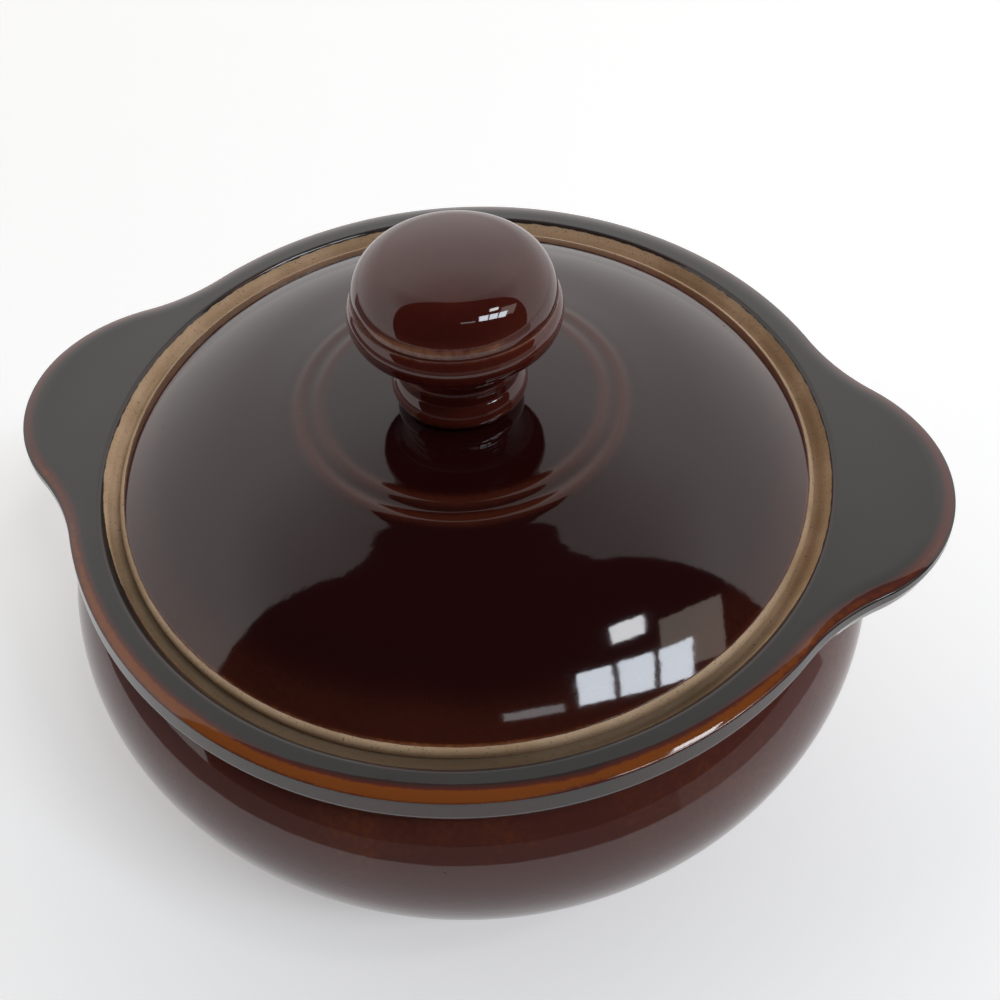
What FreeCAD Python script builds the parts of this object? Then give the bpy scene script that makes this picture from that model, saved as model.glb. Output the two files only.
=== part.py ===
import FreeCAD, Part

import math
import os

from FreeCAD import Vector

# A glazed stoneware bean pot: a squat, round-bellied bowl with a flat rim flange, two lug handles
# and a loose domed lid with a mushroom knob.
#
# All sizes are in millimetres. Z is up, the foot ring stands on z = 0 and the pot's axis is the Z
# axis. The lugs reach out along +X and -X. Every round piece is one section turned about the axis,
# and the lugs are cut from one rim plate, so their edge runs on from the edge of the flange.

# Pot body
pot_height = 64.0            # table to the top of the rim flange
belly_radius = 79.5          # widest point of the body
belly_height = 37.0          # height of the widest point
neck_radius = 70.0           # outside, at the narrow neck under the flange
wall = 5.0                   # clay thickness of the belly and floor
foot_radius = 45.0           # outside of the foot ring
foot_height = 3.0            # how far the foot ring stands proud of the base
foot_width = 5.0             # width of the ring that touches the table
foot_rounding = 1.0          # rounding of the foot ring's two edges

# Rim flange and the gallery that the lid sits in
flange_radius = 74.0         # outer edge of the flange
flange_thickness = 5.0       # top to underside
flange_edge_rounding = 2.3   # round of the outer edge, above and below
neck_cove = 1.5              # hollow round between the flange and the body
gallery_radius = 67.5        # inner edge of the flange
gallery_lip_rounding = 0.9   # glazed roll on that inner edge
gallery_depth = 3.8          # flange top down to the lid's ledge
gallery_draft = 1.6          # how far the gallery wall leans inwards on its way down
gallery_cove = 1.6           # hollow round between the gallery wall and the ledge
ledge_width = 7.0            # unglazed ledge
ledge_thickness = 5.0        # clay under the ledge
ledge_rounding = 1.2         # round of the ledge's inner edges

# Lug handles
lug_reach = 14.2             # how far a lug stands out beyond the flange
lug_tip_radius = 30.0        # round of the lug's end, seen from above
lug_blend_radius = 40.0      # hollow blend between lug and flange, seen from above
lug_rise = 1.0               # how far the lug's end lifts above the flange
lug_seat_depth = 2.4         # how deep the lug is let into the edge of the flange
lug_seat_margin = 2.0        # degrees of plain flange edge at each end of a lug piece

# Lid
lid_side_clearance = 1.4     # gap from the lid's edge to the foot of the gallery wall
lid_edge_height = 2.6        # upright rounded edge of the lid
lid_edge_rounding = 1.1      # round of that edge
lid_rise = 12.4              # top of the edge up to the crown of the dome
lid_crown_radius = 220.0     # gentle curve of the middle of the dome
lid_shoulder_start = 42.0    # where the rounder shoulder of the dome begins
lid_wall = 4.4               # clay thickness at the crown
lid_seat_width = 4.2         # flat ring under the edge that rests on the ledge
lid_seat_step = 1.0          # how far the hollow starts above the seat ring

# Knob
knob_foot_radius = 10.2      # where the knob is joined to the crown
knob_bead_radius = 12.1      # rounded bead just above the foot
knob_bead_height = 5.6       # thickness of the bead
knob_waist_radius = 10.8     # narrowest part, under the cap
knob_waist_height = 6.6      # bead to the underside of the cap
knob_cap_radius = 18.0       # widest part of the cap
knob_cap_undercut = 4.4      # slope of the cap's underside
knob_cap_band = 4.8          # height of the band round the cap
knob_cap_edge_radius = 17.0  # top of the band, where the cap's dome starts
knob_cap_rise = 8.8          # top of the band to the top of the cap
knob_cap_crown = 30.0        # gentle curve of the middle of the cap
knob_cap_shoulder = 10.0     # where the rounder shoulder of the cap begins
knob_band_rounding = 0.8     # rounding of the band's two edges

# Places that follow from the sizes above
flange_underside = pot_height - flange_thickness
ledge_height = pot_height - gallery_depth
ledge_outer_radius = gallery_radius - gallery_draft
ledge_inner_radius = ledge_outer_radius - ledge_width
lug_seat_radius = flange_radius - lug_seat_depth
lid_radius = ledge_outer_radius - lid_side_clearance
lid_edge_top = ledge_height + lid_edge_height
crown_height = lid_edge_top + lid_rise


def point(radius, height):
    """A point of a turned section, in the XZ plane."""
    return Vector(radius, 0, height)


def line(start, end):
    return Part.LineSegment(start, end).toShape()


def arc(start, middle, end):
    return Part.Arc(start, middle, end).toShape()


def turned(edges):
    """The solid that a closed section makes when it is turned about the Z axis."""
    face = Part.Face(Part.Wire(Part.__sortEdges__(edges)))
    return face.revolve(Vector(0, 0, 0), Vector(0, 0, 1), 360)


def section_corner(solid, corner):
    """The circular edges of a turned solid that pass through one corner of its section."""
    found = []
    for edge in solid.Edges:
        if edge.Degenerated or edge.Curve.TypeId != "Part::GeomCircle":
            continue
        same_radius = abs(edge.Curve.Radius - corner.x) < 1e-4
        same_height = abs(edge.Curve.Center.z - corner.z) < 1e-4
        if same_radius and same_height:
            found.append(edge)
    return found


def rounded(solid, corner, radius):
    """The solid with one turned corner rounded off."""
    return solid.makeFillet(radius, section_corner(solid, corner))


def upright_arc(widest_radius, through):
    """Centre and radius of a belly arc from its widest point to another point.

    The arc is upright at the widest point, so its centre lies level with that point.
    """
    reach = widest_radius - through.x
    climb = through.z - belly_height
    radius = (reach * reach + climb * climb) / (2 * reach)
    return point(widest_radius - radius, belly_height), radius


def high_belly_arc(cove_centre):
    """Centre and radius of the upper belly arc, from the widest point up to the neck.

    It is upright at the widest point and runs smoothly into the hollow under the flange.
    """
    reach = belly_radius - cove_centre.x
    climb = cove_centre.z - belly_height
    radius = (reach * reach + climb * climb - neck_cove ** 2) / (2 * (reach + neck_cove))
    return point(belly_radius - radius, belly_height), radius


def on_arc(centre, radius, angle):
    """A point on a section arc. The angle is in degrees, from the +X direction upwards."""
    turn = math.radians(angle)
    return centre + Vector(radius * math.cos(turn), 0, radius * math.sin(turn))


def angle_to(centre, where):
    """The angle in degrees at which a section arc passes through a point."""
    return math.degrees(math.atan2(where.z - centre.z, where.x - centre.x))


def body():
    """The bowl with its gallery and foot ring, out to the seat of the lugs."""
    foot_top = point(foot_radius + foot_rounding, foot_height)
    cove_centre = point(neck_radius + neck_cove, flange_underside - neck_cove)
    low_centre, low_radius = upright_arc(belly_radius, foot_top)
    high_centre, high_radius = high_belly_arc(cove_centre)
    widest = point(belly_radius, belly_height)
    neck = high_centre + (cove_centre - high_centre) * (high_radius / (high_radius + neck_cove))
    low_start = angle_to(low_centre, foot_top)
    high_end = angle_to(high_centre, neck)

    ceiling = ledge_height - ledge_thickness
    widest_inner = point(belly_radius - wall, belly_height)
    ceiling_edge = point(neck_radius - wall, ceiling)
    inner_centre, inner_radius = upright_arc(widest_inner.x, ceiling_edge)
    inner_end = angle_to(inner_centre, ceiling_edge)
    low_inner = low_radius - wall
    floor_edge = on_arc(low_centre, low_inner, -90)

    foot_outer = point(foot_radius, 0)
    foot_inner = point(foot_radius - foot_width, 0)
    base_edge = point(foot_radius - foot_width, foot_height)
    under_flange = point(neck_radius + neck_cove, flange_underside)
    seat_low = point(lug_seat_radius, flange_underside)
    seat_high = point(lug_seat_radius, pot_height)
    lip = point(gallery_radius, pot_height)
    ledge_outer = point(ledge_outer_radius, ledge_height)
    ledge_inner = point(ledge_inner_radius, ledge_height)
    ledge_under = point(ledge_inner_radius, ceiling)

    edges = [
        line(point(0, foot_height), base_edge),
        line(base_edge, foot_inner),
        line(foot_inner, foot_outer),
        line(foot_outer, foot_top),
        arc(foot_top, on_arc(low_centre, low_radius, low_start / 2), widest),
        arc(widest, on_arc(high_centre, high_radius, high_end / 2), neck),
        arc(neck, on_arc(cove_centre, neck_cove, (90 + 180 + high_end) / 2), under_flange),
        line(under_flange, seat_low),
        line(seat_low, seat_high),
        line(seat_high, lip),
        line(lip, ledge_outer),
        line(ledge_outer, ledge_inner),
        line(ledge_inner, ledge_under),
        line(ledge_under, ceiling_edge),
        arc(ceiling_edge, on_arc(inner_centre, inner_radius, inner_end / 2), widest_inner),
        arc(widest_inner, on_arc(low_centre, low_inner, -45), floor_edge),
        line(floor_edge, point(0, floor_edge.z)),
        line(point(0, floor_edge.z), point(0, foot_height)),
    ]
    solid = turned(edges)
    solid = rounded(solid, foot_outer, foot_rounding)
    solid = rounded(solid, foot_inner, foot_rounding)
    solid = rounded(solid, lip, gallery_lip_rounding)
    solid = rounded(solid, ledge_outer, gallery_cove)
    solid = rounded(solid, ledge_inner, ledge_rounding)
    solid = rounded(solid, ledge_under, ledge_rounding)
    return solid


def lug_geometry():
    """Plan of one lug on +X: its tip circle's centre, a blend circle's centre and seat angle."""
    tip_centre = flange_radius + lug_reach - lug_tip_radius
    to_axis = flange_radius + lug_blend_radius
    to_tip = lug_tip_radius + lug_blend_radius
    along = (to_axis ** 2 - to_tip ** 2 + tip_centre ** 2) / (2 * tip_centre)
    across = math.sqrt(to_axis ** 2 - along ** 2)
    return Vector(tip_centre, 0, 0), Vector(along, across, 0), math.atan2(across, along)


def plan_outline(height):
    """The rim's outline from above: the flange circle with a lug blended on at each side."""
    tip_centre, blend_centre, seat_angle = lug_geometry()
    tip = Vector(flange_radius + lug_reach, 0, 0)
    on_flange = Vector(math.cos(seat_angle), math.sin(seat_angle), 0) * flange_radius
    to_tip = (tip_centre - blend_centre).normalize()
    on_tip = blend_centre + to_tip * lug_blend_radius
    halfway = ((on_flange - blend_centre) + (on_tip - blend_centre)).normalize()
    blend_middle = blend_centre + halfway * lug_blend_radius

    def mirrored(where, side_x, side_y):
        return Vector(where.x * side_x, where.y * side_y, height)

    edges = []
    for side in (1, -1):
        edges.append(arc(mirrored(on_tip, side, -1), mirrored(tip, side, 1), mirrored(on_tip, side, 1)))
        for half in (1, -1):
            ends = [mirrored(where, side, half) for where in (on_flange, blend_middle, on_tip)]
            edges.append(arc(*ends))
        top = Vector(0, flange_radius * side, height)
        edges.append(arc(mirrored(on_flange, 1, side), top, mirrored(on_flange, -1, side)))
    return Part.Wire(Part.__sortEdges__(edges))


def rim_plate():
    """The flange outside the lug seat, with both lugs, in one plate with a rounded edge."""
    beyond = flange_radius + lug_reach + flange_thickness
    tip_radius = flange_radius + lug_reach
    rise_at_end = lug_rise * ((beyond - flange_radius) / (tip_radius - flange_radius)) ** 2
    rise_midway = rise_at_end / 4
    middle = (flange_radius + beyond) / 2
    edges = []
    for level in (flange_underside, pot_height):
        start = point(flange_radius, level)
        edges.append(line(point(lug_seat_radius, level), start))
        edges.append(arc(start, point(middle, level + rise_midway), point(beyond, level + rise_at_end)))
    edges.append(line(point(lug_seat_radius, flange_underside), point(lug_seat_radius, pot_height)))
    low_end = point(beyond, flange_underside + rise_at_end)
    edges.append(line(low_end, point(beyond, pot_height + rise_at_end)))
    band = turned(edges)

    below = flange_underside - flange_thickness
    prism = Part.Face(plan_outline(below)).extrude(Vector(0, 0, 3 * flange_thickness + lug_rise))
    plate = band.common(prism)
    seat_edge = lug_seat_radius + lug_seat_depth / 2
    outer_edges = []
    for edge in plate.Edges:
        ends = [math.hypot(vertex.Point.x, vertex.Point.y) for vertex in edge.Vertexes]
        middle_point = edge.valueAt((edge.FirstParameter + edge.LastParameter) / 2)
        heights = [vertex.Point.z for vertex in edge.Vertexes]
        if min(ends) < seat_edge or math.hypot(middle_point.x, middle_point.y) < seat_edge:
            continue
        if max(heights) - min(heights) > flange_thickness / 2:
            continue
        outer_edges.append(edge)
    return plate.makeFillet(flange_edge_rounding, outer_edges)


def lug_sector(side):
    """The space that one lug piece takes out of the rim plate."""
    seat_angle = lug_geometry()[2]
    half = math.degrees(seat_angle) + lug_seat_margin
    size = 2 * (flange_radius + lug_reach)
    wedge = Part.makeCylinder(size, 4 * flange_thickness, Vector(0, 0, flange_underside - flange_thickness),
                              Vector(0, 0, 1), 2 * half)
    turn = -half if side > 0 else 180 - half
    wedge.rotate(Vector(0, 0, 0), Vector(0, 0, 1), turn)
    return wedge


def sphere_over(edge_height, edge_radius, top_height):
    """Centre height and radius of a sphere about the axis, through a level edge and a top point."""
    rise = top_height - edge_height
    radius = (edge_radius ** 2 + rise ** 2) / (2 * rise)
    return top_height - radius, radius


def on_crown(top_height, crown_radius, radius):
    """The point of a dome's gentle middle at a distance from the axis."""
    sag = crown_radius - math.sqrt(crown_radius ** 2 - radius ** 2)
    return point(radius, top_height - sag)


def shoulder_arc(crown_centre, start, end):
    """Centre and radius of a dome's shoulder, which runs on smoothly from its middle."""
    outward = (start - crown_centre).normalize()
    chord = end - start
    radius = -chord.dot(chord) / (2 * outward.dot(chord))
    return start - outward * radius, radius


def dome_arcs(top_height, crown_radius, from_radius, shoulder_radius, edge):
    """The two arcs of a dome's section, from a point on its middle out to its edge."""
    crown_centre = point(0, top_height - crown_radius)
    start = on_crown(top_height, crown_radius, from_radius)
    shoulder = on_crown(top_height, crown_radius, shoulder_radius)
    crown_middle = (angle_to(crown_centre, start) + angle_to(crown_centre, shoulder)) / 2
    centre, radius = shoulder_arc(crown_centre, shoulder, edge)
    shoulder_middle = (angle_to(centre, shoulder) + angle_to(centre, edge)) / 2
    return [
        arc(start, on_arc(crown_centre, crown_radius, crown_middle), shoulder),
        arc(shoulder, on_arc(centre, radius, shoulder_middle), edge),
    ]


def lid_dome():
    """The domed lid without its knob: a flat seat ring, an upright edge and a two-arc dome."""
    seat_inner = lid_radius - lid_seat_width
    inner_start = ledge_height + lid_seat_step
    inner_height, inner = sphere_over(inner_start, seat_inner, crown_height - lid_wall)
    inner_centre = point(0, inner_height)
    foot = on_crown(crown_height, lid_crown_radius, knob_foot_radius)
    edge_corner = point(lid_radius, lid_edge_top)
    dome_start = point(lid_radius - lid_edge_rounding, lid_edge_top)
    seat_outer = point(lid_radius, ledge_height)
    seat_edge = point(seat_inner, ledge_height)
    inner_edge = point(seat_inner, inner_start)
    inner_top = point(0, crown_height - lid_wall)
    inner_angle = angle_to(inner_centre, inner_edge)
    edges = [
        line(point(0, foot.z), foot),
        *dome_arcs(crown_height, lid_crown_radius, knob_foot_radius, lid_shoulder_start, dome_start),
        line(dome_start, edge_corner),
        line(edge_corner, seat_outer),
        line(seat_outer, seat_edge),
        line(seat_edge, inner_edge),
        arc(inner_edge, on_arc(inner_centre, inner, (inner_angle + 90) / 2), inner_top),
        line(inner_top, point(0, foot.z)),
    ]
    solid = turned(edges)
    solid = rounded(solid, seat_outer, lid_edge_rounding)
    solid = rounded(solid, edge_corner, lid_edge_rounding * 0.9)
    return solid, foot.z


def lid_knob(land):
    """The mushroom knob: a foot on the crown, a bead, a waist and a domed cap on a band."""
    bead_top = land + knob_bead_height
    cap_under = bead_top + knob_waist_height
    band_low = cap_under + knob_cap_undercut
    band_high = band_low + knob_cap_band
    cap_top = band_high + knob_cap_rise
    foot = point(knob_foot_radius, land)
    bead = point(knob_bead_radius, land + knob_bead_height / 2)
    waist_low = point(knob_waist_radius, bead_top)
    waist_high = point(knob_waist_radius, cap_under)
    lip = point((knob_cap_radius + knob_cap_edge_radius) / 2, band_low)
    hollow = (waist_high + lip) * 0.5 + Vector(-knob_cap_undercut, 0, knob_cap_undercut) * 0.15
    shoulder = point(knob_cap_edge_radius, band_high)
    edges = [
        line(point(0, land), foot),
        arc(foot, bead, waist_low),
        line(waist_low, waist_high),
        arc(waist_high, hollow, lip),
        arc(lip, point(knob_cap_radius, (band_low + band_high) / 2), shoulder),
        *dome_arcs(cap_top, knob_cap_crown, 0, knob_cap_shoulder, shoulder),
        line(point(0, cap_top), point(0, land)),
    ]
    solid = rounded(turned(edges), shoulder, knob_band_rounding)
    return rounded(solid, lip, knob_band_rounding)


def checked(name, shape):
    """One clean solid for a piece, with its volume printed."""
    solid = shape.removeSplitter()
    if len(solid.Solids) != 1 or not solid.isValid():
        raise ValueError(name + " is not one valid solid")
    print(name, "volume", round(solid.Volume / 1000, 1), "cm3", solid.BoundBox)
    return solid.Solids[0]


def main():
    plate = rim_plate()
    sectors = {"handle_left": lug_sector(-1), "handle_right": lug_sector(1)}
    flange = plate
    pieces = {}
    for name, sector in sectors.items():
        pieces[name] = plate.common(sector)
        flange = flange.cut(sector)
    pieces["pot_bowl"] = body().fuse(flange)
    pieces["lid_dome"], land = lid_dome()
    pieces["lid_knob"] = lid_knob(land)

    os.makedirs("parts", exist_ok=True)
    for name, shape in pieces.items():
        checked(name, shape).exportStep(os.path.join("parts", name + ".step"))


main()
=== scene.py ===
# %% [markdown]
# # A lidded stoneware bean pot in Blender
#
# The real thing is a small squat pot, thrown or jiggered in stoneware clay, dipped in a dark
# treacle glaze and fired once. Three things about it matter most: a round belly under a flat rim,
# two lug handles that grow out of that rim, and a loose domed lid with a mushroom knob. The exact
# solids come from the CAD model. This lesson dresses them: smooth skins for the shapes, a deep
# glaze with bare clay where the lid sits, and light that shows how wet the glaze looks.

import math

import bpy
import numpy as np
from mathutils import Matrix, Vector


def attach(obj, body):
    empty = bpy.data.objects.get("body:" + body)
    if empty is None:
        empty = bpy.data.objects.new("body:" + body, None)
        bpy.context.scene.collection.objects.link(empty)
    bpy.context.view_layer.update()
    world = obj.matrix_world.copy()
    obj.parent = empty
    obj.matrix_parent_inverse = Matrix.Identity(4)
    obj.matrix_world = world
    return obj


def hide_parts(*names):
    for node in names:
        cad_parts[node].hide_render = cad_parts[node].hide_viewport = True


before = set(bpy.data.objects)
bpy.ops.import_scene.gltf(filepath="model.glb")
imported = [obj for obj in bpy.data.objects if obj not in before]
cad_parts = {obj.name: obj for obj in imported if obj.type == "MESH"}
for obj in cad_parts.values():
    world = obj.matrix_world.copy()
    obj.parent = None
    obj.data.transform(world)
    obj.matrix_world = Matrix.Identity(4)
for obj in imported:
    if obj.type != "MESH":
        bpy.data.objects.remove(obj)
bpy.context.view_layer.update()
bpy.context.scene.view_settings.view_transform = "Standard"
MM = 0.001

# %% [markdown]
# ## The camera
#
# The photograph was taken from close by, looking down at about 46 degrees, so the near rim is much
# larger than the far one. A camera is fully told by where it stands, how long its lens is and how
# it is turned. It stands on a line from the middle of the rim, and three small turns aim it.

# %% Place the camera
rim_middle = Vector((0, 0, 64.0 * MM))
stand_azimuth = 0.263
stand_elevation = 0.810
stand_distance = 180.9 * MM


def turned_about(axis, angle, arrow):
    """The arrow after it turns by an angle in radians about an axis."""
    return Matrix.Rotation(angle, 3, axis) @ arrow


flat = math.cos(stand_elevation)
back = Vector((math.sin(stand_azimuth) * flat, -math.cos(stand_azimuth) * flat,
               math.sin(stand_elevation)))
right = Vector((math.cos(stand_azimuth), math.sin(stand_azimuth), 0))
ahead = -back
above = right.cross(ahead)
pitch, swing, roll = -0.080, -0.010, 0.070
ahead, above = turned_about(right, pitch, ahead), turned_about(right, pitch, above)
ahead, right = turned_about(above, swing, ahead), turned_about(above, swing, right)
right, above = turned_about(ahead, roll, right), turned_about(ahead, roll, above)

lens = bpy.data.cameras.new("photo_camera")
camera = bpy.data.objects.new("photo_camera", lens)
bpy.context.scene.collection.objects.link(camera)
turn = Matrix((right, above, -ahead)).transposed()
camera.matrix_world = Matrix.Translation(rim_middle + back * stand_distance) @ turn.to_4x4()
lens_share = 0.9547  # the lens's length over the width of the picture
lens.sensor_width = 36.0
lens.lens = lens_share * lens.sensor_width
lens.shift_x = 0.0215
lens.shift_y = 0.0051
lens.clip_start = 0.01
bpy.context.scene.camera = camera
print("camera at", [round(v / MM, 1) for v in camera.location], "mm, lens",
      round(lens.lens, 1), "mm")

# %% [markdown]
# ## Sections
#
# Nearly everything on a pot is one section turned about an axis. A section is a row of points,
# each a distance from the axis and a height. It is put together from straight runs and arcs, and
# each corner between two runs is rounded, because glaze never leaves a sharp corner. All sizes are
# in millimetres until the mesh is made.

# %% Runs and rounded corners
def straight(start, end, count=9):
    """Points on a straight run: the start plus a share of the way to the end."""
    share = np.linspace(0, 1, count)[:, None]
    return np.array(start) + share * (np.array(end) - np.array(start))


def bowed(centre, radius, first, last, count=33):
    """Points on an arc: the centre plus radius times (cos, sin) of an angle.

    The angle runs from first to last, in degrees.
    """
    angle = np.radians(np.linspace(first, last, count))
    return np.array(centre) + radius * np.stack([np.cos(angle), np.sin(angle)], axis=1)


def trimmed(run, front, end, count):
    """The run without its first and last millimetres, with points closer together at both ends.

    A point is a share of the length that is left, and the share is (1 - cos(pi u)) / 2 for u from
    0 to 1.
    """
    length = np.concatenate([[0], np.cumsum(np.linalg.norm(np.diff(run, axis=0), axis=1))])
    share = (1 - np.cos(np.pi * np.linspace(0, 1, count))) / 2
    place = front + share * (length[-1] - front - end)
    return np.stack([np.interp(place, length, run[:, k]) for k in (0, 1)], axis=1)


def corner_blend(before, corner, after, count=9):
    """The arc of a circle that touches both sides of a corner at the points before and after it.

    It is the mean of the three points with weights (1-u)^2, 2u(1-u)w and u^2, where w is the
    cosine of half the turn at the corner.
    """
    along, onward = corner - before, after - corner
    cosine = np.dot(along, onward) / (np.linalg.norm(along) * np.linalg.norm(onward))
    pull = math.sqrt(max(0.0, (1 + cosine) / 2))
    u = np.linspace(0, 1, count)[:, None]
    parts = (1 - u) ** 2, 2 * u * (1 - u) * pull, u ** 2
    return (parts[0] * before + parts[1] * corner + parts[2] * after) / sum(parts)


def section(runs, roundings):
    """One row of points from several runs, with the corner after each run rounded to its radius.

    A rounding takes radius times tan(half the turn) off each of its two runs.
    """
    cuts = [0.0]
    for run, following, radius in zip(runs, runs[1:], roundings):
        along, onward = run[-1] - run[-2], following[1] - following[0]
        cosine = np.dot(along, onward) / (np.linalg.norm(along) * np.linalg.norm(onward))
        cuts.append(radius * math.tan(math.acos(max(-1.0, min(1.0, cosine))) / 2))
    cuts.append(0.0)
    shortened = [trimmed(run, cuts[i], cuts[i + 1], len(run)) for i, run in enumerate(runs)]
    rows = [shortened[0]]
    for i in range(1, len(runs)):
        if cuts[i] > 1e-6:
            rows.append(corner_blend(shortened[i - 1][-1], runs[i][0], shortened[i][0])[1:-1])
            rows.append(shortened[i])
        else:
            rows.append(shortened[i][1:])
    return np.concatenate(rows)


# %% [markdown]
# ## From a section to a skin
#
# Turning a section gives a grid of points: one row for each point of the section, one column for
# each direction round the axis. The grid wraps round sideways, and its first and last rows shrink
# to one point, which closes the skin. Two numbers go with each point, and the materials read them
# later: how thin the glaze is there, and how bare the clay is. On the bare gallery ledge the thin
# number is painted shade instead.

# %% Turn sections and make skins
columns = 480
angles = np.linspace(0, 2 * np.pi, columns, endpoint=False)


def turned(points):
    """A grid from a section: each distance times (cos, sin) of every angle, and its height."""
    reach, height = points[:, 0:1], points[:, 1:2]
    flat_x, flat_y = reach * np.cos(angles), reach * np.sin(angles)
    return np.stack([flat_x, flat_y, np.broadcast_to(height, flat_x.shape)], axis=2)


def skin(name, grid, thin, bare):
    """A closed mesh from a grid in mm, with the thin and bare numbers of each of its points.

    Quads join each row to the next, and a fan of triangles joins the end rows to their one point.
    """
    rows = grid.shape[0]
    points = np.concatenate([grid[:1, 0], grid[1:-1].reshape(-1, 3), grid[-1:, 0]]) * MM
    values = {key: np.concatenate([a[:1, 0], a[1:-1].ravel(), a[-1:, 0]])
              for key, a in (("thin", thin), ("bare", bare))}
    here = np.arange(columns)
    beside = (here + 1) % columns
    starts = 1 + columns * np.arange(rows - 3)[:, None]
    ends = starts + columns
    quads = np.stack([starts + here, starts + beside, ends + beside, ends + here], axis=2)
    quads = quads.reshape(-1, 4)
    last = len(points) - 1
    last_row = 1 + columns * (rows - 3)
    low_fan = np.stack([np.zeros_like(here), beside + 1, here + 1], axis=1)
    high_fan = np.stack([last_row + here, last_row + beside, np.full_like(here, last)], axis=1)
    mesh = bpy.data.meshes.new(name)
    mesh.from_pydata(points.tolist(), [], quads.tolist() + low_fan.tolist() + high_fan.tolist())
    for key, numbers in values.items():
        layer = mesh.attributes.new(key, "FLOAT", "POINT")
        layer.data.foreach_set("value", np.clip(numbers, 0, 1).astype(np.float32))
    mesh.shade_smooth()
    piece = bpy.data.objects.new(name, mesh)
    bpy.context.scene.collection.objects.link(piece)
    triangles = 2 * len(quads) + 2 * columns
    print(name, "rows", rows, "triangles", triangles, "box", np.round(points.min(0) / MM, 1),
          np.round(points.max(0) / MM, 1))
    return piece


def bump_at(place, middle, width):
    """A soft hill: exp(-((place - middle) / width)^2)."""
    return np.exp(-((place - middle) / width) ** 2)


def step_at(place, middle, width):
    """A soft step from 0 to 1: (1 + tanh((place - middle) / width)) / 2."""
    return (1 + np.tanh((place - middle) / width)) / 2


# %% [markdown]
# ## The pot's outside and inside
#
# The pot is one lump of clay: belly, rim and lugs run into each other without a seam, and one
# glaze covers them. So one skin stands for three solids of the CAD model. Its outside climbs from
# the foot ring over the belly to the neck. Its inside starts at the lip of the gallery, the sunk
# step that the lid sits in, and goes down to the floor. Both are plain sections.

# %% The belly and the foot
pot_height = 64.0
belly_radius = 79.5
belly_height = 37.0
neck_radius = 70.0
wall = 5.0
flange_underside = 58.4
foot_height, foot_inner, foot_tread, foot_outer = 3.0, 40.0, 45.0, 46.0


def upright_arc(widest, through):
    """Centre and radius of an arc, upright at the belly's widest height, that meets a point."""
    reach = widest - through[0]
    climb = through[1] - belly_height
    radius = (reach ** 2 + climb ** 2) / (2 * reach)
    return (widest - radius, belly_height), radius


low_centre, low_radius = upright_arc(belly_radius, (foot_outer, foot_height))
low_start = math.degrees(math.atan2(foot_height - low_centre[1], foot_outer - low_centre[0]))
cove = 1.5
cove_centre = np.array([neck_radius + cove, flange_underside - cove])
reach = belly_radius - cove_centre[0]
climb = cove_centre[1] - belly_height
high_radius = (reach ** 2 + climb ** 2 - cove ** 2) / (2 * (reach + cove))
high_centre = (belly_radius - high_radius, belly_height)
high_end = math.degrees(math.atan2(climb, cove_centre[0] - high_centre[0]))
outside = section(
    [
        straight((0, foot_height), (foot_inner, foot_height), 7),
        straight((foot_inner, foot_height), (foot_inner, 0), 5),
        straight((foot_inner, 0), (foot_tread, 0), 5),
        straight((foot_tread, 0), (foot_outer, foot_height), 5),
        bowed(low_centre, low_radius, low_start, 0, 40),
        bowed(high_centre, high_radius, 0, high_end, 26),
        bowed(cove_centre, cove, 180 + high_end, 90, 9),
    ],
    [0.5, 1.0, 1.0, 0.8, 0, 0],
)
print("outside section", len(outside), "points, widest", round(outside[:, 0].max(), 2))

# %% The gallery, the ledge and the inside
lip_start, gallery_top, gallery_foot, opening = 69.0, 67.5, 65.9, 58.9
ledge_height, ledge_under = 60.2, 55.2
throat = neck_radius - wall
inner_high_centre, inner_high_radius = upright_arc(belly_radius - wall, (throat, ledge_under))
inner_end = math.degrees(math.atan2(ledge_under - belly_height, throat - inner_high_centre[0]))
inner_low = low_radius - wall
floor_height = belly_height - inner_low
inside = section(
    [
        straight((lip_start, pot_height), (gallery_top, pot_height), 4),
        straight((gallery_top, pot_height), (gallery_foot, ledge_height), 7),
        straight((gallery_foot, ledge_height), (opening, ledge_height), 7),
        straight((opening, ledge_height), (opening, ledge_under), 6),
        straight((opening, ledge_under), (throat, ledge_under), 5),
        bowed(inner_high_centre, inner_high_radius, inner_end, 0, 16),
        bowed(low_centre, inner_low, 0, -90, 24),
        straight((low_centre[0], floor_height), (0, floor_height), 8),
    ],
    [0.9, 1.6, 1.2, 1.2, 0.8, 0, 0],
)
print("inside section", len(inside), "points, floor at", round(inside[-1, 1], 2), "mm")

# %% [markdown]
# ## The rim and its lugs
#
# Seen from above, the rim is a circle with a lug blended on at each side: a round tip, and a
# hollow blend from the tip to the circle. All three are arcs, so the distance of the edge from the
# axis in a given direction has a short formula for each. The plate between the lip and that edge
# lifts a little towards the end of a lug, and its edge is rounded above and below.

# %% The rim's outline from above
flange_radius = 74.0
lug_reach = 14.2
tip_radius = 30.0
blend_radius = 40.0
lug_rise = 1.0
tip_middle = flange_radius + lug_reach - tip_radius
to_axis, to_tip = flange_radius + blend_radius, tip_radius + blend_radius
blend_x = (to_axis ** 2 - to_tip ** 2 + tip_middle ** 2) / (2 * tip_middle)
blend_y = math.sqrt(to_axis ** 2 - blend_x ** 2)
seat_angle = math.atan2(blend_y, blend_x)
touch = np.array([tip_middle, 0]) + tip_radius / to_tip * np.array([blend_x - tip_middle, blend_y])
tip_angle = math.atan2(touch[1], touch[0])


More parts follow.
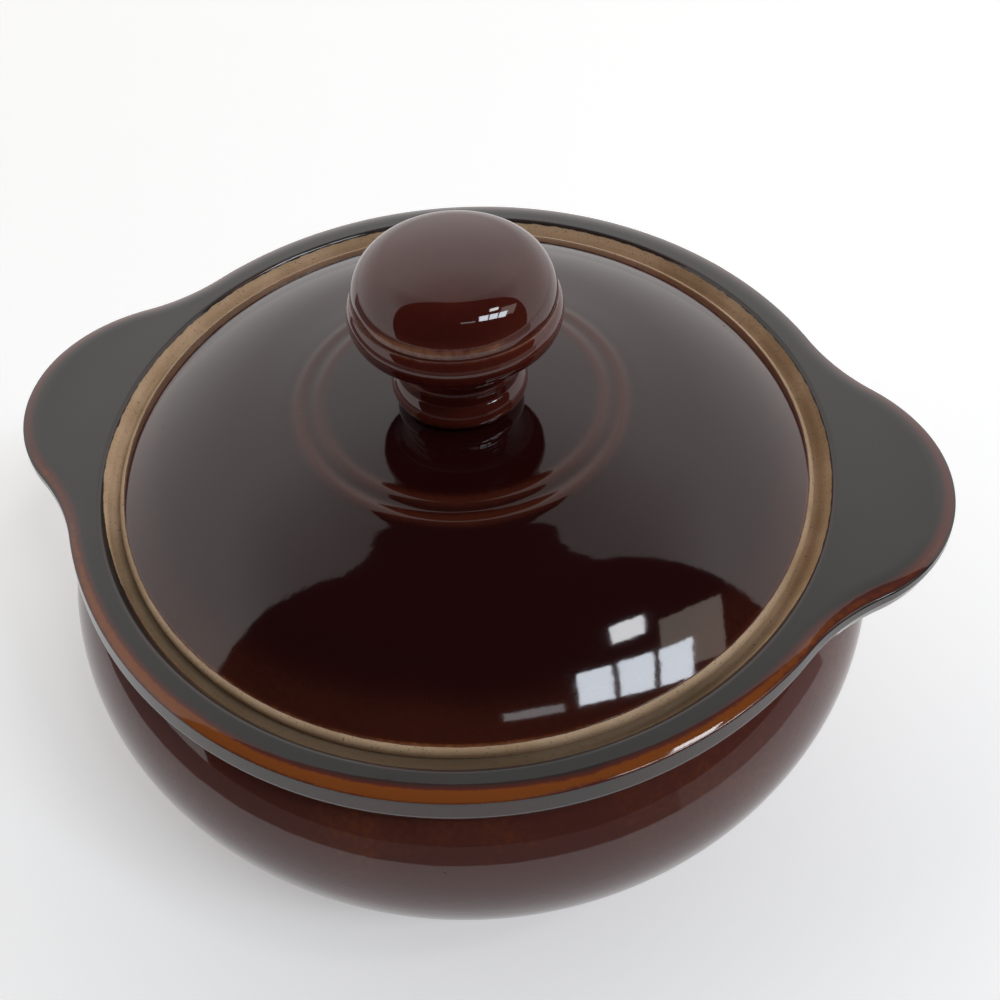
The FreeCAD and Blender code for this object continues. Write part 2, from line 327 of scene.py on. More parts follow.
def rim_outline(angle):
    """The rim's edge from above and its outward direction, for every angle about the axis.

    From the axis, a lug's tip circle is met at c cos a + sqrt(t^2 - (c sin a)^2), and its blend
    circle at m - sqrt(m^2 - k), where m is the blend centre's distance along the ray. The rest is
    the circle.
    """
    side_x, side_y = np.sign(np.cos(angle)), np.sign(np.sin(angle))
    folded = np.arctan2(np.abs(np.sin(angle)), np.abs(np.cos(angle)))
    on_tip = tip_middle * np.cos(folded) + np.sqrt(
        np.maximum(0, tip_radius ** 2 - (tip_middle * np.sin(folded)) ** 2))
    along = blend_x * np.cos(folded) + blend_y * np.sin(folded)
    on_blend = along - np.sqrt(np.maximum(0, along ** 2 - (to_axis ** 2 - blend_radius ** 2)))
    is_tip, is_blend = folded < tip_angle, folded < seat_angle
    edge = np.where(is_tip, on_tip, np.where(is_blend, on_blend, flange_radius))
    x, y = edge * np.cos(folded), edge * np.sin(folded)
    out_x = np.where(is_tip, (x - tip_middle) / tip_radius,
                     np.where(is_blend, (blend_x - x) / blend_radius, np.cos(folded)))
    out_y = np.where(is_tip, y / tip_radius,
                     np.where(is_blend, (blend_y - y) / blend_radius, np.sin(folded)))
    edge_points = np.stack([x * side_x, y * side_y], axis=1)
    outward = np.stack([out_x * side_x, out_y * side_y], axis=1)
    return edge_points, outward


rim_edge, rim_outward = rim_outline(angles)
print("lug spans", round(2 * math.degrees(seat_angle), 1), "degrees, reaches",
      round(np.abs(rim_edge[:, 0]).max(), 1), "mm")

# %% The rim's edge in section
top_rolloff, under_start = 4.3, 2.6
rim_drop = pot_height - flange_underside


def edge_profile(corner_in, corner_drop, side_in, side_drop):
    """The edge as (millimetres inside the outline, millimetres below the top), from below upwards.

    The roll-off is a circle that starts level at top_rolloff and ends at the corner, so its
    radius is (width^2 + drop^2) / (2 drop). Below the corner come the side face and a rounded
    lower edge.
    """
    radius = ((top_rolloff - corner_in) ** 2 + corner_drop ** 2) / (2 * corner_drop)
    end = math.degrees(math.atan2(corner_drop - radius, corner_in - top_rolloff))
    under_in = side_in + 0.4
    return section(
        [
            bowed((top_rolloff, radius), radius, -90, end, 14),
            straight((corner_in, corner_drop), (side_in, side_drop), 8),
            straight((side_in, side_drop), (under_in, rim_drop), 7),
            straight((under_in, rim_drop), (under_start, rim_drop), 5),
        ],
        [0.45, 1.6, 1.3],
    )[::-1]


front_profile = edge_profile(1.6, 0.5, 0.7, 3.6)
full_profile = edge_profile(0.3, 0.85, 0.02, 2.4)
past_round = np.maximum(0, np.linalg.norm(rim_edge, axis=1) - flange_radius)
front_from, front_fade, lug_fade = 0.55, 0.2, 3
front_share = (step_at(-np.sin(angles), front_from, front_fade)
               * np.exp(-((past_round / lug_fade) ** 2)))
rim_profile = (front_profile[:, None] * front_share[:, None]
               + full_profile[:, None] * (1 - front_share[:, None]))
print("rim edge", len(rim_profile), "points, worn most at the front")

# %% The rim plate as a grid
def lift(flat_points):
    """The plate's rise at a point: the lug's rise times (way past the flange / reach)^2."""
    past = np.maximum(0, np.linalg.norm(flat_points, axis=-1) - flange_radius)
    return lug_rise * (past / lug_reach) ** 2


def plate_rows(start_radius, end_points, level, count):
    """Rows across the plate from a circle to the rounding, at a level plus the lug's lift."""
    share = ((1 - np.cos(np.pi * np.linspace(0, 1, count))) / 2)[:, None, None]
    circle = start_radius * np.stack([np.cos(angles), np.sin(angles)], axis=1)
    flat_points = circle * (1 - share) + end_points * share
    return np.concatenate([flat_points, (level + lift(flat_points))[..., None]], axis=2)


inward, drop = rim_profile[..., 0], rim_profile[..., 1]
sideways = rim_edge - inward[..., None] * rim_outward
rim_round = np.concatenate([sideways, (pot_height - drop + lift(sideways))[..., None]], axis=2)
underside_rows = plate_rows(neck_radius + cove, rim_edge - under_start * rim_outward,
                            flange_underside, 12)
top_rows = plate_rows(lip_start, rim_edge - top_rolloff * rim_outward, pot_height, 18)[::-1]
print("plate rows", len(underside_rows) + len(rim_round) + len(top_rows))

# %% Put the pot's grid together
grid = np.concatenate([turned(outside), underside_rows[1:-1], rim_round, top_rows[1:-1],
                       turned(inside)])
reach_of = np.linalg.norm(grid[..., :2], axis=2)
height_of = grid[..., 2]
level_of = height_of - lift(grid[..., :2])
from_edge = np.linalg.norm(grid[..., :2] - rim_edge, axis=2)
first_inside = len(outside) + len(underside_rows) + len(rim_round) + len(top_rows) - 4
is_inside = np.arange(len(grid))[:, None] >= first_inside
gallery_low, belly_high = 54.0, 57.9
side_low, side_high, worn_low, top_low = 58.6, 63.0, 62.9, 63.3
in_gallery = is_inside & (height_of > gallery_low)
is_belly = ~is_inside & (height_of < belly_high)
on_side = ~is_inside & (level_of > side_low) & (level_of < side_high)
on_worn_edge = ~is_inside & (level_of > worn_low)
on_top = ~is_inside & (level_of > top_low)
print("pot grid", grid.shape[:2], "with its inside from row", first_inside)

# %% Where the pot's glaze runs thin, and the ledge's painted shade
belly_thin, inside_thin, side_thin, ledge_reach = 0.37, 0.25, 0.12, 66.6
fire_side = 0.5 + 0.5 * np.cos(angles + np.radians(90))
roll_thin, roll_place = 0.16 + 0.74 * fire_side ** 2, 1.3 + 1.2 * front_share
# On the gallery ledge the number is painted shade, strongest at the front: it darkens the bare clay
# where the gap under the lid's edge lies in shade.
ledge_painted_shade = 0.12 + 0.68 * front_share
thin = np.where(on_top, roll_thin * bump_at(from_edge, roll_place, 1.05), 0) + is_belly * belly_thin
thin = thin + np.where(is_inside, 0.10 * bump_at(reach_of, 67.6, 0.4), 0)
thin = thin + np.where(is_inside & (height_of < gallery_low), inside_thin, 0)
thin = thin + np.where(is_inside, 0, 0.3 * bump_at(height_of, 1.5, 2.0))
thin = thin + np.where(on_side, side_thin, 0)
# Painted shade: the bare ledge and the wall below it get darker in the gap under the lid.
thin = thin + np.where(in_gallery & (reach_of < ledge_reach), ledge_painted_shade, 0)
print("thin from", round(float(thin.min()), 3), "to", round(float(thin.max()), 3))

# %% Where its clay is bare, and the skin
wiped_to = 67.25 - 0.8 * front_share
worn_place = 0.3 + 1.3 * front_share
bare = np.where(in_gallery, step_at(wiped_to - reach_of, 0, 0.3), 0)
bare = np.maximum(bare, np.where(~is_inside, 1 - step_at(height_of, 0.9, 0.5), 0))
bare = np.maximum(bare, np.where(on_worn_edge, 0.38 * bump_at(from_edge, worn_place, 0.28), 0))
pot_skin = skin("pot_skin", grid, thin, bare)
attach(pot_skin, "pot")
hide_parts("pot_bowl", "handle_left", "handle_right")

# %% [markdown]
# ## The lid
#
# The lid is a shallow dome whose shoulder is rounder than its middle, on an upright edge. A flat
# ring under that edge rests on the ledge. The potter's tool left two low ripples round the knob,
# where the glaze runs thin and shows red. They are soft hills in the section, a fifth of a
# millimetre high.

# %% The lid's section
lid_radius = 64.5
lid_edge_top = 62.8
crown_height = 75.2
crown_radius = 220.0
shoulder_start = 42.0
knob_foot = 10.2
shoulder_step = 1.1


def dome_runs(top, curve, inner, shoulder_at, edge, counts):
    """The two arcs of a dome's section: from its edge up the shoulder, then over its middle.

    The middle is a circle about (0, top - curve). The shoulder's circle leaves it smoothly and
    meets the edge, so its radius is -|chord|^2 / (2 outward . chord), from where it begins to the
    edge.
    """
    middle = np.array([0, top - curve])
    start = np.array([shoulder_at, top - curve + math.sqrt(curve ** 2 - shoulder_at ** 2)])
    outward = (start - middle) / curve
    chord = np.array(edge) - start
    radius = -chord.dot(chord) / (2 * outward.dot(chord))
    centre = start - outward * radius
    low = math.degrees(math.atan2(edge[1] - centre[1], edge[0] - centre[0]))
    high = math.degrees(math.atan2(outward[1], outward[0]))
    end = math.degrees(math.acos(inner / curve))
    return bowed(centre, radius, low, high, counts[0]), bowed(middle, curve, high, end, counts[1])


land = crown_height - crown_radius + math.sqrt(crown_radius ** 2 - knob_foot ** 2)
dome_edge = (lid_radius - shoulder_step, lid_edge_top)
dome = dome_runs(crown_height, crown_radius, knob_foot, shoulder_start, dome_edge, (46, 90))
seat_inner, seat_top, hollow_top, hollow_rise = 60.3, 61.2, 70.8, 9.6
hollow_radius = (seat_inner ** 2 + hollow_rise ** 2) / (2 * hollow_rise)
hollow_edge = math.degrees(math.asin((hollow_radius - hollow_rise) / hollow_radius))
lid_section = section(
    [
        bowed((0, hollow_top - hollow_radius), hollow_radius, 90, hollow_edge, 40),
        straight((seat_inner, seat_top), (seat_inner, ledge_height), 4),
        straight((seat_inner, ledge_height), (lid_radius, ledge_height), 6),
        straight((lid_radius, ledge_height), (lid_radius, lid_edge_top), 5),
        straight((lid_radius, lid_edge_top), dome_edge, 4),
        dome[0],
        dome[1],
        straight((knob_foot, land), (0, land), 3),
    ],
    [0.4, 0.4, 1.1, 1.0, 0, 0, 0],
)
print("lid section", len(lid_section), "points, knob stands at", round(land, 2), "mm")

# %% Ripples and the lid's skin
last_under_row = 70
outer_ripple, dip_between, inner_ripple, swell_reach = 29.6, 27.8, 25.8, 33.5
top_side = np.arange(len(lid_section)) > last_under_row
radius_of = lid_section[:, 0]
ripple = (0.16 * bump_at(radius_of, outer_ripple, 0.9) - 0.08 * bump_at(radius_of, dip_between, 0.9)
          + 0.13 * bump_at(radius_of, inner_ripple, 0.8)
          + 0.26 * (1 - step_at(radius_of, swell_reach, 3.0)))
pooled = 0.5 * np.exp(-np.maximum(0, radius_of - knob_foot) / 0.7) * (radius_of > knob_foot - 0.01)
lid_section[:, 1] += np.where(top_side, ripple + pooled, 0)
lid_grid = turned(lid_section)
ones = np.ones(columns)
lid_thin = np.where(top_side, 0.34 * bump_at(radius_of, 29.2, 1.3)
                    + 0.30 * bump_at(radius_of, 25.6, 1.3), 0)
lid_thin = lid_thin + np.where(top_side, 0.22 * step_at(radius_of, 58.0, 3.0), 0)
lid_thin = lid_thin + 0.25 * bump_at(radius_of, 63.3, 0.3) * (lid_section[:, 1] > 62.0)
lid_bare = step_at(radius_of, 63.55, 0.2) * (lid_section[:, 1] < 63.6)
lid_bare = np.maximum(lid_bare, step_at(radius_of, 59.6, 0.3) * (lid_section[:, 1] < 61.4))
lid_skin = skin("lid_skin", lid_grid, lid_thin[:, None] * ones, lid_bare[:, None] * ones)
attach(lid_skin, "lid")
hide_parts("lid_dome")

# %% [markdown]
# ## The knob
#
# The knob was turned by itself and stuck on: a bead that meets the lid, a short waist with fine
# turning ridges, a hollow underside and a cap with a soft edge between its band and its dome.

# %% The knob's section and skin
bead_top = land + 5.6
cap_under = bead_top + 6.6
band_low = cap_under + 4.4
band_high = band_low + 4.8
cap_top = band_high + 8.8


def circle_through(start, middle, end):
    """Centre, radius and the two end angles of the arc through three points."""
    a, b, c = (np.array(p, float) for p in (start, middle, end))
    sides = np.stack([b - a, c - a]) * 2
    centre = np.linalg.solve(sides, [b.dot(b) - a.dot(a), c.dot(c) - a.dot(a)])
    turns = [math.degrees(math.atan2(*(p - centre)[::-1])) for p in (a, b, c)]
    if (turns[1] - turns[0]) * (turns[2] - turns[1]) < 0 or abs(turns[2] - turns[0]) > 300:
        turns = [t % 360 for t in turns]
    return centre, np.linalg.norm(a - centre), turns[0], turns[2]


def arc_through(start, middle, end, count=20):
    """Points on the arc through three points."""
    centre, radius, first, last = circle_through(start, middle, end)
    return bowed(centre, radius, first, last, count)


lip = np.array([17.5, band_low])
waist_end = np.array([10.8, cap_under])
hollow = (waist_end + lip) / 2 + np.array([-0.66, 0.66])
cap_sag, cap_curve, cap_shoulder = 0.45, 55.0, 11.0
cap = dome_runs(cap_top - cap_sag, cap_curve, 0, cap_shoulder, (17.0, band_high), (34, 30))
knob_section = section(
    [
        straight((0, land), (knob_foot, land), 3),
        arc_through((knob_foot, land), (12.1, land + 2.8), (10.8, bead_top), 22),
        straight((10.8, bead_top), waist_end, 34),
        arc_through(waist_end, hollow, lip, 24),
        arc_through(lip, (18.0, (band_low + band_high) / 2), (17.0, band_high), 22),
        cap[0],
        cap[1],
    ],
    [0, 0.5, 1.2, 0.8, 0.8, 0],
)
low_ridge, high_ridge = 2.4, 5.0
waist_share = (knob_section[:, 1] - bead_top) * (knob_section[:, 0] < 13)
knob_section[:, 0] += (0.22 * bump_at(waist_share, low_ridge, 0.45)
                       + 0.3 * bump_at(waist_share, high_ridge, 0.55))
knob_low = knob_section[:, 1]
knob_thin = (0.12 + 0.25 * bump_at(knob_low, band_high, 0.25) * (knob_section[:, 0] > 14)
             + 0.12 * bump_at(knob_low, band_high - 1.6, 1.0) * (knob_section[:, 0] > 16)
             + 0.2 * bump_at(waist_share, low_ridge, 0.4)
             + 0.2 * bump_at(waist_share, high_ridge, 0.5)
             + 0.2 * bump_at(knob_low, land + 2.7, 1.0) * (knob_section[:, 0] > 9))
toward_front = step_at(-np.sin(angles), 0.75, 0.15)
cap_tint = bump_at(knob_low, band_high + 1.6, 1.1) * (knob_section[:, 0] > 14)
knob_thin = knob_thin[:, None] * ones + 0.5 * cap_tint[:, None] * toward_front
knob_skin = skin("knob_skin", turned(knob_section), knob_thin, 0 * knob_thin)
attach(knob_skin, "lid")
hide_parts("lid_knob")

# %% [markdown]
# ## Glaze and clay
#
# The glaze is a coat of dark brown glass. It looks nearly black where it lies thick and breaks to
# rust where it runs thin over an edge. Where the lid and the pot meet it was wiped off before
# firing, so the bare tan clay shows there, dry and speckled. Three effects are shared by the pot,
# the lid and the knob, so each is a node group with its own inputs: the colour of the glaze, the
# bare clay, and the small unevenness of a fired surface.

# %% Node helpers
NUMBER, TINT = "NodeSocketFloat", "NodeSocketColor"


def node(tree, kind, values=None, **settings):
    """A new node with its settings and the values of its unlinked sockets."""
    made = tree.nodes.new(kind)
    for key, value in settings.items():
        setattr(made, key, value)
    for key, value in (values or {}).items():
        made.inputs[key].default_value = value
    return made


def new_group(name, inputs, outputs):
    """An empty node group with named inputs, each with a first value, and named outputs."""
    group = bpy.data.node_groups.new(name, "ShaderNodeTree")
    for label, kind, value in inputs:
        socket = group.interface.new_socket(label, in_out="INPUT", socket_type=kind)
        socket.default_value = value
    for label, kind in outputs:
        group.interface.new_socket(label, in_out="OUTPUT", socket_type=kind)
    return group, group.nodes.new("NodeGroupInput"), group.nodes.new("NodeGroupOutput")


def math_node(tree, operation, first, second=None, third=None, clamp=False):
    """A Math node. Each input is a socket or a plain number."""
    made = node(tree, "ShaderNodeMath", operation=operation, use_clamp=clamp)
    for socket, value in zip(made.inputs, (first, second, third)):
        if isinstance(value, bpy.types.NodeSocket):
            tree.links.new(value, socket)
        elif value is not None:
            socket.default_value = value
    return made.outputs[0]


def colour_mix(tree, share, first, second):
    """A colour part of the way from the first to the second."""
    made = node(tree, "ShaderNodeMix", data_type="RGBA")
    pairs = (made.inputs[0], share), (made.inputs[6], first), (made.inputs[7], second)
    for socket, value in pairs:
        if isinstance(value, bpy.types.NodeSocket):
            tree.links.new(value, socket)
        else:
            socket.default_value = value
    return made.outputs[2]


def cloud(tree, scale, detail=3.0, roughness=0.55):
    """A noise from 0 to 1 on the object's own coordinates. Its scale is in spots per metre."""
    place = node(tree, "ShaderNodeTexCoord")
    made = node(tree, "ShaderNodeTexNoise", {"Detail": detail, "Roughness": roughness})
    tree.links.new(place.outputs["Object"], made.inputs["Vector"])
    if isinstance(scale, bpy.types.NodeSocket):
        tree.links.new(scale, made.inputs["Scale"])
    else:
        made.inputs["Scale"].default_value = scale
    return made.outputs["Fac"]


def ramp(tree, source, low, high):
    """A soft step of a value: 0 below low, 1 above high."""
    made = node(tree, "ShaderNodeMapRange", interpolation_type="SMOOTHSTEP")
    made.inputs["From Min"].default_value = low
    made.inputs["From Max"].default_value = high
    tree.links.new(source, made.inputs["Value"])
    return made.outputs["Result"]


# %% Glaze colour group
glaze_colour, entry, leave = new_group(
    "glaze_colour",
    [("Thin", NUMBER, 0.0), ("Mottle", NUMBER, 0.3), ("Mottle Scale", NUMBER, 70.0),
     ("Deep", TINT, (0.01, 0.002, 0.002, 1)), ("Middle", TINT, (0.06, 0.01, 0.005, 1)),
     ("Rust", TINT, (0.3, 0.08, 0.02, 1))],
    [("Color", TINT), ("Thinness", NUMBER)])
links = glaze_colour.links
thin_in = entry.outputs["Thin"]
clouds = cloud(glaze_colour, entry.outputs["Mottle Scale"], 5.0)
mottle = math_node(glaze_colour, "SUBTRACT", clouds, 0.5)
fine = math_node(glaze_colour, "SUBTRACT", cloud(glaze_colour, 900.0, 2.0), 0.5)
spread = math_node(glaze_colour, "MULTIPLY", mottle, entry.outputs["Mottle"])
grain = math_node(glaze_colour, "MULTIPLY", fine, math_node(glaze_colour, "MULTIPLY", thin_in, 0.9))
patchy = math_node(glaze_colour, "MULTIPLY", thin_in,
                   math_node(glaze_colour, "MULTIPLY_ADD", mottle, 1.4, 0.5))
grainy = math_node(glaze_colour, "ADD", thin_in, grain)
broken = math_node(glaze_colour, "ADD", grainy, patchy)
thinness = math_node(glaze_colour, "ADD", broken, spread, clamp=True)
lower = colour_mix(glaze_colour, ramp(glaze_colour, thinness, 0.0, 0.5), entry.outputs["Deep"],
                   entry.outputs["Middle"])
upper = colour_mix(glaze_colour, ramp(glaze_colour, thinness, 0.52, 1.0), lower,
                   entry.outputs["Rust"])
links.new(upper, leave.inputs["Color"])
links.new(thinness, leave.inputs["Thinness"])
print("group", glaze_colour.name, "nodes", len(glaze_colour.nodes))

# %% Bare clay group
bare_clay, entry, leave = new_group(
    "bare_clay",
    [("Clay", TINT, (0.62, 0.43, 0.27, 1)), ("Toasted", TINT, (0.44, 0.28, 0.15, 1)),
     ("Speck", TINT, (0.17, 0.11, 0.07, 1)), ("Grain Scale", NUMBER, 2200.0)],
    [("Color", TINT), ("Height", NUMBER)])
toast = ramp(bare_clay, cloud(bare_clay, 55.0, 4.0), 0.38, 0.72)
body_colour = colour_mix(bare_clay, toast, entry.outputs["Clay"], entry.outputs["Toasted"])
grains = cloud(bare_clay, entry.outputs["Grain Scale"], 2.0, 0.7)
grained = colour_mix(bare_clay, ramp(bare_clay, grains, 0.58, 0.74), body_colour,
                     entry.outputs["Speck"])
bare_clay.links.new(grained, leave.inputs["Color"])
bare_clay.links.new(grains, leave.inputs["Height"])
print("group", bare_clay.name, "nodes", len(bare_clay.nodes))

# %% Fired surface group
fired_surface, entry, leave = new_group(
    "fired_surface",
    [("Waver", NUMBER, 1.0), ("Pinholes", NUMBER, 1.0)],
    [("Height", NUMBER), ("Pin", NUMBER)])
slow = cloud(fired_surface, 45.0, 1.0)
quick_wave = cloud(fired_surface, 260.0, 2.0)
ruffled = math_node(fired_surface, "MULTIPLY", quick_wave, 0.12)
waver = math_node(fired_surface, "MULTIPLY", math_node(fired_surface, "ADD", slow, ruffled),
                  entry.outputs["Waver"])
place = node(fired_surface, "ShaderNodeTexCoord")
pores = node(fired_surface, "ShaderNodeTexVoronoi", {"Scale": 170.0, "Randomness": 1.0})
fired_surface.links.new(place.outputs["Object"], pores.inputs["Vector"])
few = ramp(fired_surface, cloud(fired_surface, 120.0, 0.0), 0.55, 0.62)
outside_pore = ramp(fired_surface, pores.outputs["Distance"], 0.02, 0.05)
inside_pore = math_node(fired_surface, "SUBTRACT", 1.0, outside_pore)
pin = math_node(fired_surface, "MULTIPLY", math_node(fired_surface, "MULTIPLY", inside_pore, few),
                entry.outputs["Pinholes"])
height = math_node(fired_surface, "SUBTRACT", waver,
                   math_node(fired_surface, "MULTIPLY", pin, 0.5))
fired_surface.links.new(height, leave.inputs["Height"])
fired_surface.links.new(pin, leave.inputs["Pin"])
print("group", fired_surface.name, "nodes", len(fired_surface.nodes))

# %% [markdown]
# ## One recipe, three finishes
#
# Each piece gets its own material from one recipe. The shader is a Principled BSDF: smooth and
# glassy over the glaze, dull over bare clay. The bare number of the mesh, roughened by a noise,
# decides where the clay shows, and the thin number darkens it: toasted along thin glaze, and
# painted shade on the gallery ledge. Two bumps in a row carry the wavy glaze and the grain of the
# clay.

# %% Make the finishes
def glazed_stoneware(name, deep, middle, rust, mottle, mottle_scale, waver):
    """A material that shows glaze or bare clay by the piece's bare number."""
    material = bpy.data.materials.new(name)
    material.use_nodes = True
    tree = material.node_tree
    shader = tree.nodes["Principled BSDF"]
    thin_number = node(tree, "ShaderNodeAttribute", attribute_name="thin")
    bare_number = node(tree, "ShaderNodeAttribute", attribute_name="bare")
    glaze = node(tree, "ShaderNodeGroup", node_tree=glaze_colour)
    clay = node(tree, "ShaderNodeGroup", node_tree=bare_clay)
    surface = node(tree, "ShaderNodeGroup", node_tree=fired_surface)
    glaze.inputs["Deep"].default_value = (*deep, 1)
    glaze.inputs["Middle"].default_value = (*middle, 1)
    glaze.inputs["Rust"].default_value = (*rust, 1)
    glaze.inputs["Mottle"].default_value = mottle
    glaze.inputs["Mottle Scale"].default_value = mottle_scale
    surface.inputs["Waver"].default_value = waver
    tree.links.new(thin_number.outputs["Fac"], glaze.inputs["Thin"])
    ragged = math_node(tree, "SUBTRACT", cloud(tree, 380.0, 3.0), 0.5)
    ragged = math_node(tree, "MULTIPLY", ragged, 0.5)
    shown = ramp(tree, math_node(tree, "ADD", bare_number.outputs["Fac"], ragged), 0.42, 0.58)
    # The thin number darkens bare clay: toasting along thin glaze, and painted shade on the gallery
    # ledge.
    toasted_and_shaded_clay = colour_mix(tree, thin_number.outputs["Fac"], clay.outputs["Color"],
                              (0.07, 0.045, 0.02, 1))
    colour = colour_mix(tree, shown, glaze.outputs["Color"], toasted_and_shaded_clay)
    tree.links.new(colour, shader.inputs["Base Color"])
    dull = math_node(tree, "MULTIPLY_ADD", shown, 0.72, 0.05)
    tree.links.new(dull, shader.inputs["Roughness"])
    shader.inputs["Specular IOR Level"].default_value = 0.5
    glaze_bump = node(tree, "ShaderNodeBump", {"Strength": 0.3, "Distance": 0.0004})
    clay_bump = node(tree, "ShaderNodeBump", {"Strength": 0.6, "Distance": 0.0001})
    clay_relief = math_node(tree, "MULTIPLY", clay.outputs["Height"], shown)
    tree.links.new(surface.outputs["Height"], glaze_bump.inputs["Height"])
    tree.links.new(clay_relief, clay_bump.inputs["Height"])
    tree.links.new(glaze_bump.outputs["Normal"], clay_bump.inputs["Normal"])
    tree.links.new(clay_bump.outputs["Normal"], shader.inputs["Normal"])
    return material


pot_glaze = glazed_stoneware("pot_glaze", (0.027, 0.026, 0.024), (0.088, 0.025, 0.019),
                             (0.20, 0.055, 0.012), 0.28, 45.0, 1.0)
lid_glaze = glazed_stoneware("lid_glaze", (0.017, 0.0025, 0.0025), (0.055, 0.012, 0.006),
                             (0.24, 0.080, 0.025), 0.22, 22.0, 0.8)
knob_glaze = glazed_stoneware("knob_glaze", (0.042, 0.005, 0.004), (0.085, 0.015, 0.008),
                              (0.26, 0.10, 0.045), 0.40, 60.0, 0.7)
for piece, finish in ((pot_skin, pot_glaze), (lid_skin, lid_glaze), (knob_skin, knob_glaze)):
    piece.data.materials.append(finish)
    print(piece.name, "has finish", finish.name)

# %% [markdown]
# ## Table and light
#
# Dark glaze is seen by what it mirrors, so the light is mostly a matter of what stands round the
# pot. The room is pale and a little darker overhead. The table is plain and pale, and keeps a soft
# shadow.

# %% Pale table
side = 3.0
table_mesh = bpy.data.meshes.new("table")
table_level = -0.0001
table_corners = [(-side, -side, table_level), (side, -side, table_level),
                 (side, side, table_level), (-side, side, table_level)]
table_mesh.from_pydata(table_corners, [], [(0, 1, 2, 3)])
table = bpy.data.objects.new("table", table_mesh)
bpy.context.scene.collection.objects.link(table)
pale = bpy.data.materials.new("pale_table")
pale.use_nodes = True
tree = pale.node_tree
tree.nodes.clear()
cloth_white = node(tree, "ShaderNodeBsdfDiffuse", {"Color": (0.90, 0.895, 0.885, 1)})
lifted = node(tree, "ShaderNodeEmission", {"Color": (1, 1, 1, 1)})
seen = node(tree, "ShaderNodeLightPath")
rays = math_node(tree, "MULTIPLY", math_node(tree, "ADD", seen.outputs["Is Camera Ray"],
                                             seen.outputs["Is Glossy Ray"], clamp=True), 0.27)
tree.links.new(rays, lifted.inputs["Strength"])
both = node(tree, "ShaderNodeAddShader")
tree.links.new(cloth_white.outputs[0], both.inputs[0])
tree.links.new(lifted.outputs[0], both.inputs[1])
tree.links.new(both.outputs[0], node(tree, "ShaderNodeOutputMaterial").inputs["Surface"])
table_mesh.materials.append(pale)
print("table", 2 * side, "m wide, at", table_level / MM, "mm")

# %% The room as a world
room = bpy.data.worlds.new("pale_room")
bpy.context.scene.world = room
room.use_nodes = True
tree = room.node_tree
tree.nodes.clear()
looking = node(tree, "ShaderNodeTexCoord")
climb_of = node(tree, "ShaderNodeSeparateXYZ")
tree.links.new(looking.outputs["Generated"], climb_of.inputs[0])
overhead = ramp(tree, climb_of.outputs["Z"], 0.68, 0.95)
shade = colour_mix(tree, overhead, (1.25, 1.22, 1.20, 1), (0.62, 0.62, 0.60, 1))
sky = node(tree, "ShaderNodeBackground", {"Strength": 1.0})
tree.links.new(shade, sky.inputs["Color"])
tree.links.new(sky.outputs[0], node(tree, "ShaderNodeOutputWorld").inputs["Surface"])
print("world", room.name, "pale at the sides and darker overhead")

# %% [markdown]
# ## Flags
#
# Whoever photographs glossy ware stands dark boards, called flags, round it to give the mirrored
# room an edge. One large flag in front makes the dark field on the lid. A low one round the pot
# makes the dark band under the rim, and is less dark on the right. The glaze mirrors them and the
# camera doesn't see them.

# %% Helpers for stage pieces
def plain_glow(name, colour, strength):
    """A material that only gives off light of its own."""
    material = bpy.data.materials.new(name)
    material.use_nodes = True
    material.node_tree.nodes.clear()
    light = node(material.node_tree, "ShaderNodeEmission",
                 {"Color": (*colour, 1), "Strength": strength})
    out = node(material.node_tree, "ShaderNodeOutputMaterial")
    material.node_tree.links.new(light.outputs[0], out.inputs["Surface"])
    return material


def stage_piece(name, corners, faces, material):
    """A piece of the studio that the camera doesn't see, but the glaze mirrors."""
    mesh = bpy.data.meshes.new(name)
    mesh.from_pydata([tuple(c) for c in corners], [], faces)
    mesh.materials.append(material)
    made = bpy.data.objects.new(name, mesh)
    bpy.context.scene.collection.objects.link(made)
    made.visible_camera = False
    return made


def grid_faces(rows, across):
    """The quads of a grid of points with so many rows and points across."""
    first = (np.arange(rows - 1)[:, None] * across + np.arange(across - 1)).ravel()
    return np.stack([first, first + 1, first + across + 1, first + across], axis=1).tolist()


# %% The dark flag
def flag_points(one_side, other_side, distance, rows=41, across=41):
    """A part of a sphere between two planes through the pot's rim.

    With L the line where the planes meet and M a direction that swings from one plane to the
    other, a point is distance (L cos v + M sin v), for v from 0 to half a turn.
    """
    one, other = np.array(one_side), np.array(other_side)
    one, other = one / np.linalg.norm(one), other / np.linalg.norm(other)
    ridge = np.cross(one, other)
    ridge = ridge / np.linalg.norm(ridge)
    right_edge, left_edge = np.cross(one, ridge), -np.cross(other, ridge)
    width = math.acos(right_edge.dot(left_edge))
    inner = (left_edge - math.cos(width) * right_edge) / math.sin(width)
    u = np.linspace(0, width, across)[None, :, None]
    v = np.linspace(0, np.pi, rows)[:, None, None]
    swing_way = np.cos(u) * right_edge + np.sin(u) * inner
    return np.array(rim_middle) + distance * (np.cos(v) * ridge + np.sin(v) * swing_way)


dark = plain_glow("dark_flag", (0.02, 0.02, 0.022), 1.0)
flag = flag_points((0.0, 1.0, -0.35), (-0.933, 1.0, -0.56), 2.0)
stage_piece("front_flag", flag.reshape(-1, 3), grid_faces(41, 41), dark)
print("front flag", len(flag.reshape(-1, 3)), "points")

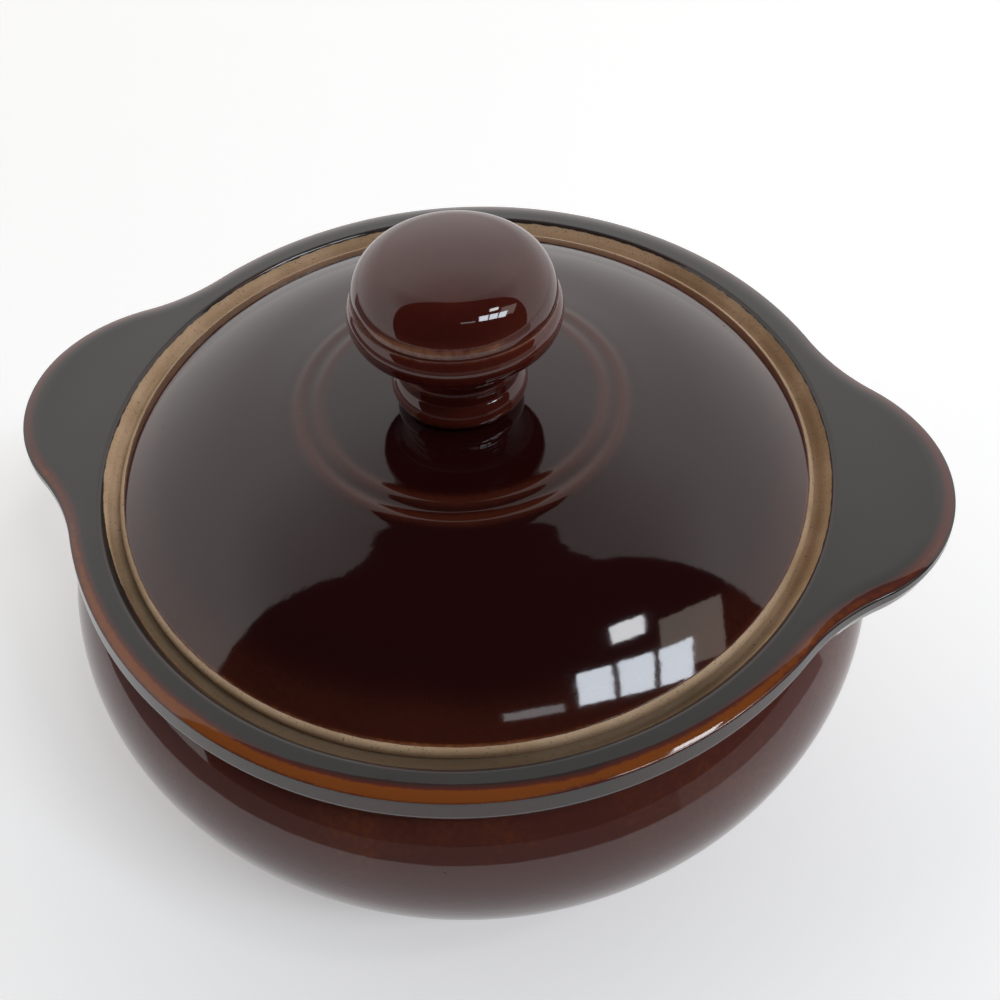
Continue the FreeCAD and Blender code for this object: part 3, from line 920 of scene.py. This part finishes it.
# %% The low flags
low_columns, wall_from = 61, 48
low_reach, low_tall = 0.30, 0.07
swing_round = np.radians(np.linspace(-200, 2, low_columns))
low_edge = low_reach * np.stack([np.cos(swing_round), np.sin(swing_round), 0 * swing_round], axis=1)
low_corners = np.concatenate([low_edge, low_edge + np.array([0, 0, low_tall])])
low_faces = grid_faces(2, low_columns)
for low_name, low_part, low_light in (("low_flag", low_faces[:wall_from], 0.20),
                                      ("low_wall", low_faces[wall_from:], 0.45)):
    low_glow = plain_glow(low_name, (1.0, 0.90, 0.90), low_light)
    low_piece = stage_piece(low_name, low_corners, low_part, low_glow)
    # Only mirrors see these two: they neither take soft light from the pot nor shade the table.
    low_piece.visible_diffuse = False
    low_piece.visible_shadow = False
    print(low_name, len(low_part), "faces")

# %% [markdown]
# ## The window
#
# The bright patch on the lid is a window high up on the right. It has a row of three panes, one
# small pane above, a sill under it and a lit curtain beside it. The camera sees none of them by
# themselves, but the lid and the knob mirror them.

# %% Windows with bars
def window(name, aim, along, distance, width, height, across, down, strength, tint):
    """A window of bright panes on the far side of a direction, facing the pot's rim.

    Its width runs along the given way. Pane (i, j) covers its share of the width and height less
    a bar of a fourteenth of a pane all round.
    """
    away = Vector(aim).normalized()
    level = (Vector(along) - away * away.dot(Vector(along))).normalized()
    rise = away.cross(level)
    middle = rim_middle + away * distance
    near, far = 0.07, 0.93
    corners, panes = [], []
    for i in range(across):
        for j in range(down):
            for u, v in ((near, near), (far, near), (far, far), (near, far)):
                over = level * ((i + u) / across - 0.5) * width
                up = rise * ((j + v) / down - 0.5) * height
                corners.append(middle + (over + up))
            panes.append(tuple(range(len(corners) - 4, len(corners))))
    return stage_piece(name, corners, panes, plain_glow(name + "_glow", tint, strength))


pane_run = (0.732, 0.532, -0.425)
window("front_window", (0.595, -0.225, 0.772), pane_run, 1.2, 0.56, 0.25, 3, 1, 16.0,
       (0.84, 0.91, 1.0))
window("small_pane", (0.49, -0.03, 0.87), pane_run, 1.2, 0.17, 0.13, 1, 1, 15.0, (0.95, 0.97, 1.0))
window("sill", (0.30, -0.46, 0.83), pane_run, 1.2, 0.30, 0.06, 1, 1, 3.0, (0.95, 0.95, 1.0))
window("lit_curtain", (0.714, -0.015, 0.70), pane_run, 1.3, 0.40, 0.40, 1, 1, 1.9,
       (1.0, 0.86, 0.74))
